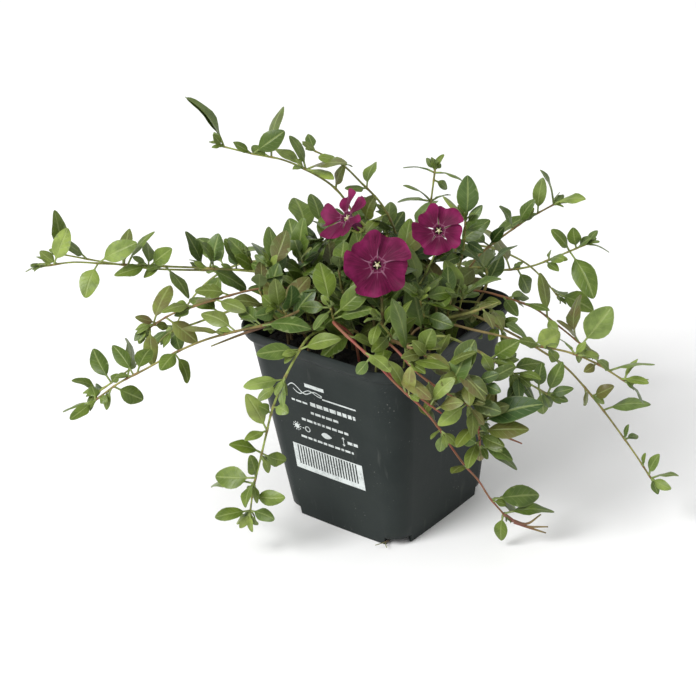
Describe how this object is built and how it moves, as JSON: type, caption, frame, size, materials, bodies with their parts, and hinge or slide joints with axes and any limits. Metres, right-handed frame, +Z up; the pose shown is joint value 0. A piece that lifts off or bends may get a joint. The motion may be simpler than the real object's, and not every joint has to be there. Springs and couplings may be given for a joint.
{
  "type": "potted lesser periwinkle",
  "caption": "Trailing lesser periwinkle with wine-purple flowers, growing in a square flared nursery pot.",
  "frame": {"origin": "middle of the small pad under the pot's floor, in the plane that the pot stands on", "axes": "+Z up; the pot's four sides face +X, -X, +Y and -Y; -Y is the side that carries the printed panel"},
  "size_m": [0.2502, 0.244, 0.1916],
  "materials": {
    "pot_plastic": "satin moulded polypropylene, dark slate",
    "potting_soil": null,
    "foliage": null,
    "petal": null,
    "stigma": null
  },
  "bodies": {
    "root": {"pot": "pot_plastic", "soil": "potting_soil", "runner_arched_right": "foliage", "runner_back": "foliage", "runner_back_left": "foliage", "runner_back_right": "foliage", "runner_back_rising": "foliage", "runner_back_twin": "foliage", "runner_brown_left": "foliage", "runner_far_left": "foliage", "runner_far_left_twin": "foliage", "runner_far_right": "foliage", "runner_front_corner": "foliage", "runner_front_left": "foliage", "runner_front_right": "foliage", "runner_high_left": "foliage", "runner_low_left": "foliage", "runner_low_left_twin": "foliage", "runner_mid_right": "foliage", "runner_right_drooping": "foliage", "runner_right_twin": "foliage", "runner_rising_right": "foliage", "runner_upper_right": "foliage", "shoot_centre": "foliage", "shoot_centre_back": "foliage", "shoot_front": "foliage", "shoot_leaning_back": "foliage", "shoot_left_back": "foliage", "shoot_left_front": "foliage", "shoot_left_tall": "foliage", "shoot_middle_back": "foliage", "shoot_right": "foliage", "shoot_right_front": "foliage", "shoot_tall_right": "foliage", "shoot_thin": "foliage", "stalk_of_bloom_front": "foliage", "stalk_of_bloom_left": "foliage", "stalk_of_bloom_right": "foliage", "bloom_front": "petal", "bloom_left": "petal", "bloom_right": "petal", "stigma_front": "stigma", "stigma_left": "stigma", "stigma_right": "stigma"}
  },
  "joints": []
}
